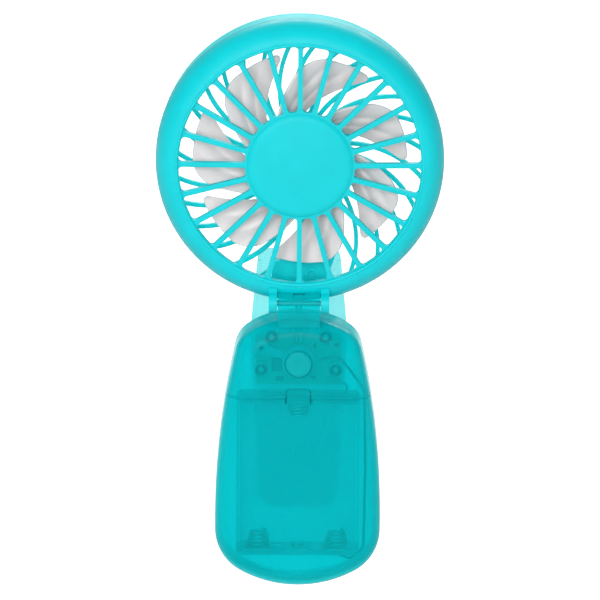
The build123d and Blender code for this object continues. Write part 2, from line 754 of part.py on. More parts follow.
def duct_outline(foot_r, inset=0.0, foot_z=58.0):
    """Front view of the lead duct: a wide foot within foot_r of the axis, and a neck up to the pod."""
    foot, neck = DUCT_HALF - inset, NECK_HALF - inset
    with BuildSketch() as outline:
        with BuildLine():
            Polyline(
                (-foot, foot_z),
                (foot, foot_z),
                (foot, DUCT_SHOULDER_Z - inset / 2),
                (NECK_X + neck, NECK_FOOT_Z - inset / 2),
                (NECK_X + neck, NECK_HEAD_Z),
                (NECK_X - neck, NECK_HEAD_Z),
                (NECK_X - neck, NECK_FOOT_Z - inset / 2),
                (-foot, DUCT_SHOULDER_Z - inset / 2),
                close=True,
            )
        make_face()
        with Locations((0, HEAD_Z)):
            Circle(foot_r, mode=Mode.INTERSECT)
    return outline.sketch


def polar(radius, angle):
    """X, Z from the head's axis at an angle in degrees."""
    return radius * cos(radians(angle)), radius * sin(radians(angle))


with BuildPart() as rear_grille:
    # curved ribs from the motor pod to the ring, trailing clockwise on their way out
    with BuildSketch(mode=Mode.PRIVATE) as rib:
        with BuildLine():
            rib_root, rib_middle = polar(POD_R - 0.8, 0), polar(32, -0.382 * REAR_SPOKE_SWEEP)
            ThreePointArc(rib_root, rib_middle, polar(54.6, -REAR_SPOKE_SWEEP))
        trace(line_width=REAR_SPOKE_WIDTH)
        Circle(RING_BACK_R + 0.6, mode=Mode.INTERSECT)
    with BuildSketch(head_plane(HEAD_BACK_Y - 0.2)):
        with PolarLocations(0, REAR_SPOKES, start_angle=90):
            add(rib.sketch)
    extrude(amount=HEAD_BACK_Y - 0.2 - REAR_SPOKE_FRONT_Y)
    # ring, from the seam round to its rear lip
    with BuildSketch(HEAD_SIDE):
        with BuildLine():
            Polyline(
                (HEAD_BACK_Y, RING_BACK_R),
                (HEAD_BACK_Y, RING_BACK_R - 0.3),
                (3.4, SHELL_MATE_R - 0.3),
                (2.4, SHELL_MATE_R - 1.5),
                (-1.3, SHELL_MATE_R - 1.5),
                (-1.3, SHELL_MATE_R),
                (HEAD_SEAM_Y, SHELL_MATE_R),
                (HEAD_SEAM_Y, HEAD_R),
                (HEAD_BACK_Y - RIM_ROUND, RING_BACK_R + RIM_ROUND),
            )
            EllipticalCenterArc((HEAD_BACK_Y - RIM_ROUND, RING_BACK_R), RIM_ROUND, RIM_ROUND, 0)
        make_face()
    revolve(axis=HEAD_AXIS)
    # motor pod
    with BuildSketch(HEAD_SIDE):
        with BuildLine():
            pod_corner = TangentArc((14.2 - 2.0, POD_R), (14.2, POD_R - 2.0), tangent=(1, 0))
            Polyline(pod_corner @ 1, (14.2, 0), (3.0, 0), (3.0, POD_R), pod_corner @ 0)
        make_face()
    revolve(axis=HEAD_AXIS)
    # lead duct, with a post that holds its cover by a domed head
    with BuildSketch(front_plane(DUCT_BACK_Y)):
        add(duct_outline(DUCT_FOOT_R))
    extrude(amount=DUCT_BACK_Y - DUCT_FRONT_Y - COVER_T)
    with BuildSketch(front_plane(DUCT_BACK_Y - DUCT_WALL)):
        add(duct_outline(DUCT_FOOT_R - 0.5, DUCT_WALL))
    extrude(amount=DUCT_BACK_Y - DUCT_WALL - DUCT_FRONT_Y, mode=Mode.SUBTRACT)
    post_steps = ((2.0, DUCT_BACK_Y - 0.5, DUCT_FRONT_Y + COVER_T), (0.88, 8.0, BOSS_Y - 0.2))
    for post_r, back_y, front_y in post_steps:
        with BuildSketch(front_plane(back_y)):
            with Locations(COVER_POST):
                Circle(post_r)
        extrude(amount=back_y - front_y)
    with BuildSketch(front_plane(BOSS_Y)):
        with Locations(COVER_POST):
            Circle(1.5)
    extrude(amount=0.7)
    fillet(rear_grille.faces().sort_by(Axis.Y)[0].edges(), 0.6)
    # the pod's bore, its chamber behind the motor, and the leads' way down
    with BuildSketch(head_plane(MOTOR_BACK_Y)):
        Circle(MOTOR_R)
    extrude(amount=20, mode=Mode.SUBTRACT)
    with BuildSketch(head_plane(12.8)):
        Circle(11.0)
    extrude(amount=3, mode=Mode.SUBTRACT)
    with BuildSketch(head_plane(12.4)):
        with Locations((NECK_X, -12.4)):
            Rectangle(2 * (NECK_HALF - DUCT_WALL), 5.8)
    extrude(amount=1.4, mode=Mode.SUBTRACT)
finish(rear_grille, "rear_grille")

with BuildPart() as lead_cover:
    with BuildSketch(front_plane(DUCT_FRONT_Y + COVER_T)):
        add(duct_outline(DUCT_FOOT_R, 0, COVER_FOOT_Z))
        with Locations((0, HEAD_Z)):
            Circle(POD_R + 0.1, mode=Mode.SUBTRACT)
    extrude(amount=COVER_T)
    with BuildSketch(front_plane(DUCT_FRONT_Y)):
        with Locations(COVER_POST):
            Circle(2.4)
    extrude(amount=DUCT_FRONT_Y - BOSS_Y)
    with BuildSketch(front_plane(DUCT_FRONT_Y + 2)):
        with Locations(COVER_POST):
            Circle(0.95)
    extrude(amount=6, mode=Mode.SUBTRACT)
finish(lead_cover, "lead_cover")

# ---------------------------------------------------------------- motor

CAN_WALL = 0.8
CAP_Y = 9.4                 # front face of the motor's end cap
CORE_R = 8.6
COMMUTATOR_R = 2.2
BRUSH_GAP = 0.3
BRUSH_T = 0.4
NOSE_Y = -2.8
BUSH_R = 1.5

with BuildPart() as motor_can:
    with BuildSketch(HEAD_SIDE):
        with BuildLine():
            Polyline(
                (MOTOR_BACK_Y, MOTOR_R),
                (MOTOR_FRONT_Y, MOTOR_R),
                (MOTOR_FRONT_Y, 3.0),
                (NOSE_Y, 3.0),
                (NOSE_Y, BUSH_R),
                (MOTOR_FRONT_Y + CAN_WALL, BUSH_R),
                (MOTOR_FRONT_Y + CAN_WALL, MOTOR_R - CAN_WALL),
                (MOTOR_BACK_Y, MOTOR_R - CAN_WALL),
                close=True,
            )
        make_face()
    revolve(axis=HEAD_AXIS)
    fillet(motor_can.faces().filter_by(Axis.Y).group_by(Axis.Y)[1].edges().group_by(SortBy.LENGTH)[-1], 0.5)
finish(motor_can, "motor_can")

with BuildPart() as motor_end_cap:
    with BuildSketch(head_plane(MOTOR_BACK_Y)):
        Circle(MOTOR_R - CAN_WALL)
        with Locations((-TERMINAL_X, -5.3), (TERMINAL_X, -5.3)):
            Rectangle(2.8, 0.6, mode=Mode.SUBTRACT)
    extrude(amount=MOTOR_BACK_Y - CAP_Y)
    with BuildSketch(head_plane(MOTOR_BACK_Y - 0.5)):
        Circle(SHAFT_R + 0.04)
    extrude(amount=4, mode=Mode.SUBTRACT)
finish(motor_end_cap, "motor_end_cap")

with BuildPart() as motor_bushing:
    with BuildSketch(head_plane(MOTOR_FRONT_Y + CAN_WALL)):
        Circle(BUSH_R)
        Circle(SHAFT_R + 0.03, mode=Mode.SUBTRACT)
    extrude(amount=MOTOR_FRONT_Y + CAN_WALL - NOSE_Y)
finish(motor_bushing, "motor_bushing")

with BuildPart() as motor_magnets:
    with BuildSketch(head_plane(8.6)):
        Circle(MOTOR_R - CAN_WALL)
        Circle(CORE_R + 0.6, mode=Mode.SUBTRACT)
        with Locations((0, 0)):
            Rectangle(8.0, 40.0, mode=Mode.SUBTRACT)
    extrude(amount=8.4)
finish(motor_magnets, "motor_magnets")

with BuildPart() as motor_armature:
    # three-pole core with its windings between the pole shoes
    with BuildSketch(head_plane(6.0)):
        Circle(CORE_R)
        with PolarLocations(CORE_R, 3, start_angle=30):
            Rectangle(3.2, 0.9, mode=Mode.SUBTRACT)
    extrude(amount=4.6)
    with BuildSketch(head_plane(7.0)):
        with PolarLocations(4.3, 3, start_angle=90):
            RectangleRounded(4.6, 7.0, 1.4)
        Circle(3.0)
    extrude(amount=6.4)
    # commutator
    with BuildSketch(head_plane(9.1)):
        Circle(COMMUTATOR_R)
    extrude(amount=2.6)
    with BuildSketch(head_plane(10)):
        Circle(SHAFT_R)
    extrude(amount=12, mode=Mode.SUBTRACT)
finish(motor_armature, "motor_armature")

with BuildPart() as motor_brushes:
    for side in (-1, 1):
        leaf_x = side * (COMMUTATOR_R + BRUSH_GAP + BRUSH_T / 2)
        tab_x = side * (COMMUTATOR_R + BRUSH_GAP + BRUSH_T - 1.15)
        with BuildSketch(front_plane(TERMINAL_Y + 0.7)):
            with Locations((tab_x, TERMINAL_Z + BRUSH_T / 2)):
                Rectangle(2.3, BRUSH_T)
        extrude(amount=TERMINAL_Y + 0.7 - 7.7)
        with BuildSketch(front_plane(9.0)):
            with Locations((leaf_x, TERMINAL_Z + 3.6)):
                Rectangle(BRUSH_T, 7.2)
        extrude(amount=1.3)
finish(motor_brushes, "motor_brushes")

with BuildPart() as motor_shaft:
    with BuildSketch(head_plane(10.3)):
        Circle(SHAFT_R)
    extrude(amount=18.1)
    chamfer(motor_shaft.faces().sort_by(Axis.Y)[0].edges(), 0.2)
finish(motor_shaft, "motor_shaft")

# ---------------------------------------------------------------- impeller

TIP_ANGLE = 48.6            # direction of one blade's tip
BLADE_SPAN = 36.0           # angle a blade covers, the same at every radius
BLADE_T = 1.3
BLADE_MID_Y = -1.0
BLADE_HALF_DEPTH = 5.0      # the trailing edge is ahead of the middle and the leading edge behind it
CUP_WALL = 1.4
CUP_FRONT_Y = -7.6
CUP_BACK_Y = 2.5
ROOT_R = CUP_R - 0.6


def sweep_angle(radius):
    """Angle from a blade's tip back to the middle of the blade at a radius."""
    return 17.0 + 1.62 * (TIP_R - radius)


with BuildPart(mode=Mode.PRIVATE) as blade_sheet:
    for radius in (12.0, 21.0, 31.0, 43.0):
        mid = TIP_ANGLE + sweep_angle(radius)
        half_width = radius * sin(radians(BLADE_SPAN / 2))
        outward = (cos(radians(mid)), 0, sin(radians(mid)))
        along = (-sin(radians(mid)), 0, cos(radians(mid)))
        stagger = degrees(atan2(-BLADE_HALF_DEPTH, half_width))
        origin = (radius * outward[0], BLADE_MID_Y, HEAD_Z + radius * outward[2])
        with BuildSketch(Plane(origin=origin, x_dir=along, z_dir=outward)):
            flip = 1 if Plane(origin=origin, x_dir=along, z_dir=outward).y_dir.Y > 0 else -1
            length = 2.5 * (half_width**2 + BLADE_HALF_DEPTH**2) ** 0.5
            Rectangle(length, BLADE_T, rotation=flip * stagger)
    loft()

with BuildPart(mode=Mode.PRIVATE) as blade_outline:
    with BuildSketch(head_plane(8)) as petal:
        back_edge = [polar(r, TIP_ANGLE + a) for r, a in ((13, 81), (19, 68), (28.2, 53), (36, 42.5))]
        front_edge = [polar(r, TIP_ANGLE + a) for r, a in ((38.4, 1.8), (30.7, 12.5), (23.6, 24), (13, 46))]
        with BuildLine():
            back_curve = Spline(*back_edge, polar(TIP_R, TIP_ANGLE + 35))
            rim_mid, rim_end = polar(TIP_R, TIP_ANGLE + 18), polar(TIP_R, TIP_ANGLE - 1)
            rim_curve = ThreePointArc(back_curve @ 1, rim_mid, rim_end)
            front_curve = Spline(rim_curve @ 1, *front_edge)
            Line(front_curve @ 1, back_curve @ 0)
        make_face()
        fillet(petal.vertices().sort_by_distance(rim_curve @ 0)[0], 6.0)
        fillet(petal.vertices().sort_by_distance(rim_curve @ 1)[0], 1.8)
        Circle(ROOT_R, mode=Mode.SUBTRACT)
    extrude(amount=18)

blade = blade_sheet.part & blade_outline.part

with BuildPart() as impeller:
    with BuildSketch(HEAD_SIDE):
        with BuildLine():
            Polyline(
                (CUP_FRONT_Y, SHAFT_R),
                (CUP_FRONT_Y, CUP_R - 1.0),
                (CUP_FRONT_Y + 1.0, CUP_R),
                (CUP_BACK_Y, CUP_R),
                (CUP_BACK_Y, CUP_R - CUP_WALL),
                (CUP_FRONT_Y + CUP_WALL, CUP_R - CUP_WALL),
                (CUP_FRONT_Y + CUP_WALL, 2.6),
                (-3.2, 2.6),
                (-3.2, SHAFT_R),
                close=True,
            )
        make_face()
    revolve(axis=HEAD_AXIS)
    for k in range(BLADES):
        add(blade.rotate(HEAD_AXIS, k * 360 / BLADES))
finish(impeller, "impeller")

# ---------------------------------------------------------------- clip

CLIP_LUG_IN = 9.2
CLIP_LUG_OUT = 11.7
FLANGE_DEPTH = 1.6
FLANGE_WALL = 1.2
plate_mid_y = CLIP_PLATE_Y + CLIP_T / 2


def clip_outline(inset=0.0):
    """Rear view of the clip: a rounded top, widest near the pin, and a narrower rounded jaw."""
    with BuildSketch() as outline:
        with BuildLine():
            Polyline(
                (-15.75 + inset, CLIP_TOP_Z - inset),
                (15.75 - inset, CLIP_TOP_Z - inset),
                (18.4 - inset, 46.0),
                (18.4 - inset, 30.0),
                (14.6 - inset, -27.0 + inset),
                (-14.6 + inset, -27.0 + inset),
                (-18.4 + inset, 30.0),
                (-18.4 + inset, 46.0),
                close=True,
            )
        make_face()
        fillet(outline.vertices().group_by(Axis.Y)[-1], 4.0 - inset)
        fillet(outline.vertices().group_by(Axis.Y)[0], 7.0 - inset)
    return outline.sketch


def clip_body(start_inset):
    """The clip's bent plate, cut to its outline."""
    with BuildPart() as body:
        with BuildSketch(side_plane(0)):
            with BuildLine():
                straight = Line((plate_mid_y, CLIP_TOP_Z + 2), (plate_mid_y, 20.0))
                jaw = [(17.6, 0.5), (13.2, -16.5), (12.2, -22.0), (13.6, -28.0)]
                bend = Spline(straight @ 1, *jaw, tangents=[(0, -1), (0.4, -1)])
            trace(line_width=CLIP_T)
        extrude(amount=25, both=True)
        with BuildSketch(front_plane(30)):
            add(clip_outline(start_inset))
        extrude(amount=40, mode=Mode.INTERSECT)
    return body.part


with BuildPart() as clip_plate:
    add(clip_body(0))
    # shallow side flanges
    with BuildSketch(front_plane(CLIP_PLATE_Y + 0.2)):
        add(clip_outline())
        add(clip_outline(FLANGE_WALL), mode=Mode.SUBTRACT)
        with Locations((0, 48)):
            Rectangle(60, 44, mode=Mode.INTERSECT)
    extrude(amount=FLANGE_DEPTH + 0.2)
    # lugs on the pin
    for side in (-1, 1):
        with BuildSketch(side_plane(side * (CLIP_LUG_IN + CLIP_LUG_OUT) / 2)):
            with Locations((CLIP_PIN_Y, CLIP_PIN_Z)):
                add(lug_profile(CLIP_PLATE_Y + 0.4, 4.5))
        extrude(amount=(CLIP_LUG_OUT - CLIP_LUG_IN) / 2, both=True)
    with BuildSketch(side_plane(0)):
        with Locations((CLIP_PIN_Y, CLIP_PIN_Z)):
            Circle(CLIP_PIN_R + 0.05)
    extrude(amount=20, both=True, mode=Mode.SUBTRACT)
finish(clip_plate, "clip_plate")

with BuildPart() as clip_pin:
    with BuildSketch(side_plane(-SHELL_LUG_OUT)):
        with Locations((CLIP_PIN_Y, CLIP_PIN_Z)):
            Circle(CLIP_PIN_R)
    extrude(amount=2 * SHELL_LUG_OUT)
finish(clip_pin, "clip_pin")

COIL_R = 2.1
COIL_HALF = 3.2
COIL_TURNS = 3.5
CLIP_WIRE_R = 0.4
SAMPLES = 12

with BuildPart() as clip_spring:
    # one leg up the handle's back, three and a half turns round the pin, one leg up the lever
    leg_in = [(-COIL_HALF, BACK_DEPTH + 0.6, 47.0), (-COIL_HALF, 11.6, 43.0), (-COIL_HALF, 12.3, 40.0)]
    leg_out = [(COIL_HALF, 17.7, 40.0), (COIL_HALF, 18.5, 43.0), (COIL_HALF, CLIP_PLATE_Y - 0.7, 47.0)]
    steps = int(COIL_TURNS * SAMPLES)
    turns = []
    for k in range(steps + 1):
        angle = radians(180 + 360 * COIL_TURNS * k / steps)
        turns.append(
            (
                -COIL_HALF + 2 * COIL_HALF * k / steps,
                CLIP_PIN_Y + COIL_R * cos(angle),
                CLIP_PIN_Z + COIL_R * sin(angle),
            )
        )
    with BuildLine() as wire_path:
        Spline(*leg_in, *turns, *leg_out)
    with BuildSketch(wire_path.line ^ 0):
        Circle(CLIP_WIRE_R)
    sweep(path=wire_path.line, is_frenet=False)
finish(clip_spring, "clip_spring")
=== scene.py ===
import json
from math import cos, exp, pi, radians, sin, sqrt

import bpy
from mathutils import Matrix, Vector


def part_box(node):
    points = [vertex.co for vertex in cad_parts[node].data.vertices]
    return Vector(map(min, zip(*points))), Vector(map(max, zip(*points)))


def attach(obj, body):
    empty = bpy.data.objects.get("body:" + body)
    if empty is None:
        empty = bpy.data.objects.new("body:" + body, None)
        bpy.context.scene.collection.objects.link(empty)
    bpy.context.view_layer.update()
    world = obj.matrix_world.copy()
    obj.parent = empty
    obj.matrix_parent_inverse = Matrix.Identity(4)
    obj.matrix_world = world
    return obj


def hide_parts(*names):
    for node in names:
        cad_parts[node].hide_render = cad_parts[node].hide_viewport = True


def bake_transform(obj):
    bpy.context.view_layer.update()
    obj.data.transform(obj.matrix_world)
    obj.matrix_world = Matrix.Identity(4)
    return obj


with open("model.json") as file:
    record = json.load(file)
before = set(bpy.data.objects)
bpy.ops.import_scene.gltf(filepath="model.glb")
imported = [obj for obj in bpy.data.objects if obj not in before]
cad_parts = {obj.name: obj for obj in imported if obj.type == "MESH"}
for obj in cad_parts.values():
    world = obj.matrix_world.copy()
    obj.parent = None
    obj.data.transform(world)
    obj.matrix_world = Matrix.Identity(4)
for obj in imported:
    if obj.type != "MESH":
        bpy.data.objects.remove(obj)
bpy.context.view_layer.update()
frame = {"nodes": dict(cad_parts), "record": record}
nodes = frame["nodes"]


MM = 0.001

# ---------------------------------------------------------------- places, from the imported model

can_low, can_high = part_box("motor_can")
HEAD = Vector((0, 0, (can_low.z + can_high.z) / 2))     # a point on the rotor's axis

# ---------------------------------------------------------------- shader helpers


def new_material(name):
    material = bpy.data.materials.new(name)
    material.use_nodes = True
    tree = material.node_tree
    tree.nodes.clear()
    return material, tree


def add_node(tree, kind, **values):
    node = tree.nodes.new(kind)
    for key, value in values.items():
        if key in node.inputs:
            node.inputs[key].default_value = value
        else:
            setattr(node, key, value)
    return node


def noise(tree, scale, detail=3.0, roughness=0.55):
    """Fine noise in object coordinates, which stay with the piece."""
    coordinates = add_node(tree, "ShaderNodeTexCoord")
    texture = add_node(tree, "ShaderNodeTexNoise", Scale=scale, Detail=detail, Roughness=roughness)
    tree.links.new(coordinates.outputs["Object"], texture.inputs["Vector"])
    return texture


def ramp(tree, source, low, high):
    """Maps a noise value to a range or to two colours."""
    node = add_node(tree, "ShaderNodeValToRGB")
    node.color_ramp.elements[0].position = 0.3
    node.color_ramp.elements[1].position = 0.7
    node.color_ramp.elements[0].color = low
    node.color_ramp.elements[1].color = high
    tree.links.new(source, node.inputs["Fac"])
    return node


def grey(value):
    return (value, value, value, 1)


def shade(colour, factor):
    return tuple(min(1.0, c * factor) for c in colour[:3]) + (1,)


def moulded(name, colour, roughness=0.38, spread=0.05, grain=1.0, **extra):
    """Moulded plastic: faint mottling, uneven gloss and a very fine spark-eroded grain."""
    material, tree = new_material(name)
    shader = add_node(tree, "ShaderNodeBsdfPrincipled")
    out = add_node(tree, "ShaderNodeOutputMaterial")
    tree.links.new(shader.outputs["BSDF"], out.inputs["Surface"])
    broad = noise(tree, 55.0)
    tint = ramp(tree, broad.outputs["Fac"], shade(colour, 1 - spread), shade(colour, 1 + spread))
    tree.links.new(tint.outputs["Color"], shader.inputs["Base Color"])
    gloss = noise(tree, 160.0, 4.0)
    rough = ramp(tree, gloss.outputs["Fac"], grey(roughness * 0.86), grey(min(1, roughness * 1.14)))
    tree.links.new(rough.outputs["Color"], shader.inputs["Roughness"])
    fine = noise(tree, 2600.0, 2.0)
    bump = add_node(tree, "ShaderNodeBump", Strength=0.10 * grain, Distance=0.00004)
    tree.links.new(fine.outputs["Fac"], bump.inputs["Height"])
    tree.links.new(bump.outputs["Normal"], shader.inputs["Normal"])
    for key, value in extra.items():
        shader.inputs[key.replace("_", " ")].default_value = value
    return material


def metal(name, colour, roughness=0.28, along=(1, 1, 1), streak=900.0):
    """Plated or drawn metal with fine streaks."""
    material, tree = new_material(name)
    shader = add_node(tree, "ShaderNodeBsdfPrincipled", Metallic=1.0)
    out = add_node(tree, "ShaderNodeOutputMaterial")
    tree.links.new(shader.outputs["BSDF"], out.inputs["Surface"])
    coordinates = add_node(tree, "ShaderNodeTexCoord")
    stretch = add_node(tree, "ShaderNodeMapping", Scale=along)
    tree.links.new(coordinates.outputs["Object"], stretch.inputs["Vector"])
    texture = add_node(tree, "ShaderNodeTexNoise", Scale=streak, Detail=4.0)
    tree.links.new(stretch.outputs["Vector"], texture.inputs["Vector"])
    tint = ramp(tree, texture.outputs["Fac"], shade(colour, 0.88), shade(colour, 1.08))
    tree.links.new(tint.outputs["Color"], shader.inputs["Base Color"])
    rough = ramp(tree, texture.outputs["Fac"], grey(roughness * 0.8), grey(min(1, roughness * 1.25)))
    tree.links.new(rough.outputs["Color"], shader.inputs["Roughness"])
    bump = add_node(tree, "ShaderNodeBump", Strength=0.15, Distance=0.00003)
    tree.links.new(texture.outputs["Fac"], bump.inputs["Height"])
    tree.links.new(bump.outputs["Normal"], shader.inputs["Normal"])
    return material


EDGE_BLEND = 0.35


def clear_plastic(name, colour, tint, clearness, roughness=0.22, spread=0.03, **extra):
    """See-through moulded plastic: some light passes each surface and takes up the tint."""
    material = moulded(name, colour, roughness=roughness, spread=spread, grain=0.25, **extra)
    tree = material.node_tree
    shader = next(node for node in tree.nodes if node.type == "BSDF_PRINCIPLED")
    out = next(node for node in tree.nodes if node.type == "OUTPUT_MATERIAL")
    through = add_node(tree, "ShaderNodeBsdfTransparent", Color=(*tint, 1))
    cloud = noise(tree, 40.0)
    share = ramp(tree, cloud.outputs["Fac"], grey(clearness * 0.96), grey(clearness * 1.04))
    # the plastic gets denser where a surface is seen edge on
    slant = add_node(tree, "ShaderNodeLayerWeight", Blend=EDGE_BLEND)
    open_face = add_node(tree, "ShaderNodeMath", operation="SUBTRACT")
    open_face.inputs[0].default_value = 1.0
    tree.links.new(slant.outputs["Facing"], open_face.inputs[1])
    passing = add_node(tree, "ShaderNodeMath", operation="MULTIPLY")
    tree.links.new(share.outputs["Color"], passing.inputs[0])
    tree.links.new(open_face.outputs["Value"], passing.inputs[1])
    mix = add_node(tree, "ShaderNodeMixShader")
    tree.links.new(passing.outputs["Value"], mix.inputs["Fac"])
    tree.links.new(shader.outputs["BSDF"], mix.inputs[1])
    tree.links.new(through.outputs["BSDF"], mix.inputs[2])
    tree.links.new(mix.outputs["Shader"], out.inputs["Surface"])
    return material


TURQUOISE = (0.0, 0.61, 0.665)
# painted light: the head's turquoise made brighter for parts that sit in shade deep inside the head
TURQUOISE_REAR_PAINTED_LIGHT = (0.0, 0.78, 0.84)
TURQUOISE_BUTTON = (0.0, 0.62, 0.65)
TURQUOISE_CLEAR = (0.0, 0.70, 0.735)
TURQUOISE_TINT = (0.03, 0.945, 0.965)
CLIP_PALE = (0.06, 0.62, 0.63)
CLIP_TINT = (0.54, 0.92, 0.93)
BLADE_GREY = (0.81, 0.70, 0.695)
COOL_DEPTH = (0.15, 1.0, 1.0)   # how far red, green and blue light wander inside turquoise plastic
EVEN_DEPTH = (1.0, 0.9, 0.9)

head_plastic = moulded(
    "head_turquoise", TURQUOISE, 0.45, 0.03, Subsurface_Weight=0.7, Subsurface_Scale=0.003,
    Subsurface_Radius=COOL_DEPTH, Specular_IOR_Level=0.16,
)
handle_plastic = clear_plastic(
    "handle_turquoise", TURQUOISE_CLEAR, TURQUOISE_TINT, 0.765, 0.24, Specular_IOR_Level=0.1
)
back_plastic = clear_plastic(
    "handle_back", TURQUOISE_CLEAR, TURQUOISE_TINT, 0.5, 0.24, Specular_IOR_Level=0.1
)
# painted light: a lighter copy of the head plastic, which brightens the shaded rear grille and lead
# cover
rear_plastic_painted_light = moulded(
    "head_turquoise_rear_painted_light", TURQUOISE_REAR_PAINTED_LIGHT, 0.45, 0.03, Subsurface_Weight=0.9, Subsurface_Scale=0.004,
    Subsurface_Radius=COOL_DEPTH, Specular_IOR_Level=0.16,
)
tray_plastic = clear_plastic(
    "tray_turquoise", TURQUOISE_CLEAR, TURQUOISE_TINT, 0.72, 0.3, Specular_IOR_Level=0.1
)
button_plastic = clear_plastic(
    "button_turquoise", TURQUOISE_BUTTON, TURQUOISE_TINT, 0.52, 0.24, Specular_IOR_Level=0.15
)
clip_plastic = clear_plastic(
    "clip_turquoise", CLIP_PALE, CLIP_TINT, 0.75, 0.3, Specular_IOR_Level=0.12
)
blade_plastic = moulded(
    "blade_grey", BLADE_GREY, 0.42, 0.02, Subsurface_Weight=0.35, Subsurface_Scale=0.0015,
    Subsurface_Radius=EVEN_DEPTH,
)
pin_metal = metal("pin_steel", (0.20, 0.23, 0.24), 0.42, (20, 1, 1))
screw_metal = metal("screw_steel", (0.22, 0.30, 0.30), 0.6, (1, 1, 1))
contact_metal = metal("contact_nickel", (0.42, 0.46, 0.46), 0.42)
board_resin = moulded("board_green", (0.02, 0.28, 0.22), 0.5, 0.10)
chip_resin = moulded("component_black", (0.02, 0.02, 0.022), 0.5, 0.15)
switch_resin = moulded("switch_black", (0.015, 0.015, 0.016), 0.45, 0.15)
red_sleeve = moulded("lead_red", (0.20, 0.30, 0.30), 0.45, 0.08)
black_sleeve = moulded("lead_black", (0.03, 0.13, 0.135), 0.45, 0.12)
pair_sleeve = moulded("lead_pair", (0.16, 0.42, 0.42), 0.45, 0.10)
motor_metal = metal("motor_steel", (0.60, 0.60, 0.61), 0.34, (1, 12, 1))
cap_resin = moulded("motor_cap", (0.78, 0.78, 0.74), 0.5, 0.05)
copper = metal("motor_copper", (0.70, 0.34, 0.16), 0.35, (1, 1, 20), 500.0)
ferrite = moulded("magnet_ferrite", (0.035, 0.035, 0.038), 0.6, 0.2, 3.0)
bronze = metal("bushing_bronze", (0.55, 0.36, 0.18), 0.42)
strip_bronze = metal("brush_bronze", (0.72, 0.44, 0.24), 0.3)

finishes = {
    "turquoise_opaque": head_plastic,
    "turquoise_clear": handle_plastic,
    "turquoise_clip": clip_plastic,
    "blade_grey": blade_plastic,
    "pin_steel": pin_metal,
    "screw_steel": screw_metal,
    "contact_plate": contact_metal,
    "board_green": board_resin,
    "component_black": chip_resin,
    "switch_black": switch_resin,
    "lead_red": red_sleeve,
    "lead_black": black_sleeve,
    "lead_pair": pair_sleeve,
    "motor_steel": motor_metal,
    "motor_plastic": cap_resin,
    "motor_copper": copper,
    "magnet_black": ferrite,
    "bushing_bronze": bronze,
    "brush_bronze": strip_bronze,
}
slot_of = {part["node"]: part["material_slot"] for part in frame["record"]["subparts"]}
for name, cad_node in nodes.items():
    cad_node.data.materials.clear()
    cad_node.data.materials.append(finishes[slot_of[name]])
nodes["battery_tray"].data.materials[0] = tray_plastic
nodes["rear_shell"].data.materials[0] = back_plastic
nodes["power_button"].data.materials[0] = button_plastic
# the rear grille and lead cover take the lighter copy with painted light
nodes["rear_grille"].data.materials[0] = rear_plastic_painted_light
nodes["lead_cover"].data.materials[0] = rear_plastic_painted_light

# ---------------------------------------------------------------- mesh helpers


def mesh_piece(name, points, faces, material):
    mesh = bpy.data.meshes.new(name)
    mesh.from_pydata([tuple(p) for p in points], [], faces)
    mesh.update()
    piece = bpy.data.objects.new(name, mesh)
    bpy.context.scene.collection.objects.link(piece)
    mesh.materials.append(material)
    for polygon in mesh.polygons:
        polygon.use_smooth = True
    return piece


def on_axis(radius, angle, y):
    """A point at a radius and angle about the rotor's axis, as seen from the front."""
    return Vector((radius * cos(angle), y, HEAD.z + radius * sin(angle)))


# ---------------------------------------------------------------- impeller

BLADES = 7
TIP_ANGLE = radians(48.6)
TIP_R = 41.2 * MM
ROOT_R = 14.5 * MM
CUP_R = 14.8 * MM
BLADE_MID_Y = -1.0 * MM
BLADE_HALF_DEPTH = 5.0 * MM
BLADE_T = 1.1 * MM
CORNER_R = 6.5 * MM
NOSE_R = 2.6 * MM
ACROSS, OUT = 56, 48
CREASES = ((0.36, 0.075, 0.55 * MM), (0.66, 0.085, 0.65 * MM))

# angle from the blade's tip to its two edges, at these radii
EDGE_RADII = (14.0, 19.0, 23.6, 28.2, 33.0, 38.0, 42.0)
FRONT_EDGE = (43.0, 33.0, 24.0, 15.8, 8.6, 2.4, -0.6)
BACK_EDGE = (78.5, 68.0, 60.0, 53.0, 46.5, 40.6, 36.4)


def table_value(values, radius):
    """Smooth reading of one of the edge tables at a radius in metres."""
    r = radius / MM
    last = len(EDGE_RADII) - 2
    k = max(0, min(last, sum(1 for e in EDGE_RADII[1:-1] if r >= e)))
    p0, p3 = max(0, k - 1), min(last + 1, k + 2)
    t = (r - EDGE_RADII[k]) / (EDGE_RADII[k + 1] - EDGE_RADII[k])
    span = EDGE_RADII[k + 1] - EDGE_RADII[k]
    m1 = (values[k + 1] - values[p0]) / (EDGE_RADII[k + 1] - EDGE_RADII[p0]) * span
    m2 = (values[p3] - values[k]) / (EDGE_RADII[p3] - EDGE_RADII[k]) * span
    h1, h2 = 2 * t**3 - 3 * t**2 + 1, t**3 - 2 * t**2 + t
    h3, h4 = -2 * t**3 + 3 * t**2, t**3 - t**2
    return h1 * values[k] + h2 * m1 + h3 * values[k + 1] + h4 * m2


def rim_radius(u):
    """The blade's outer edge: a rounded nose at u = 0, a broader rounded corner at u = 1."""
    width = TIP_R * radians(36.0)
    from_nose, from_corner = u * width, (1 - u) * width
    drop = 0.0
    if from_nose < NOSE_R:
        drop += NOSE_R - sqrt(max(0.0, NOSE_R**2 - (NOSE_R - from_nose) ** 2))
    if from_corner < CORNER_R:
        drop += CORNER_R - sqrt(max(0.0, CORNER_R**2 - (CORNER_R - from_corner) ** 2))
    return TIP_R - drop


def eased(t):
    """Bunches grid lines towards both ends, where the corners are."""
    return 0.5 - 0.5 * cos(pi * t)


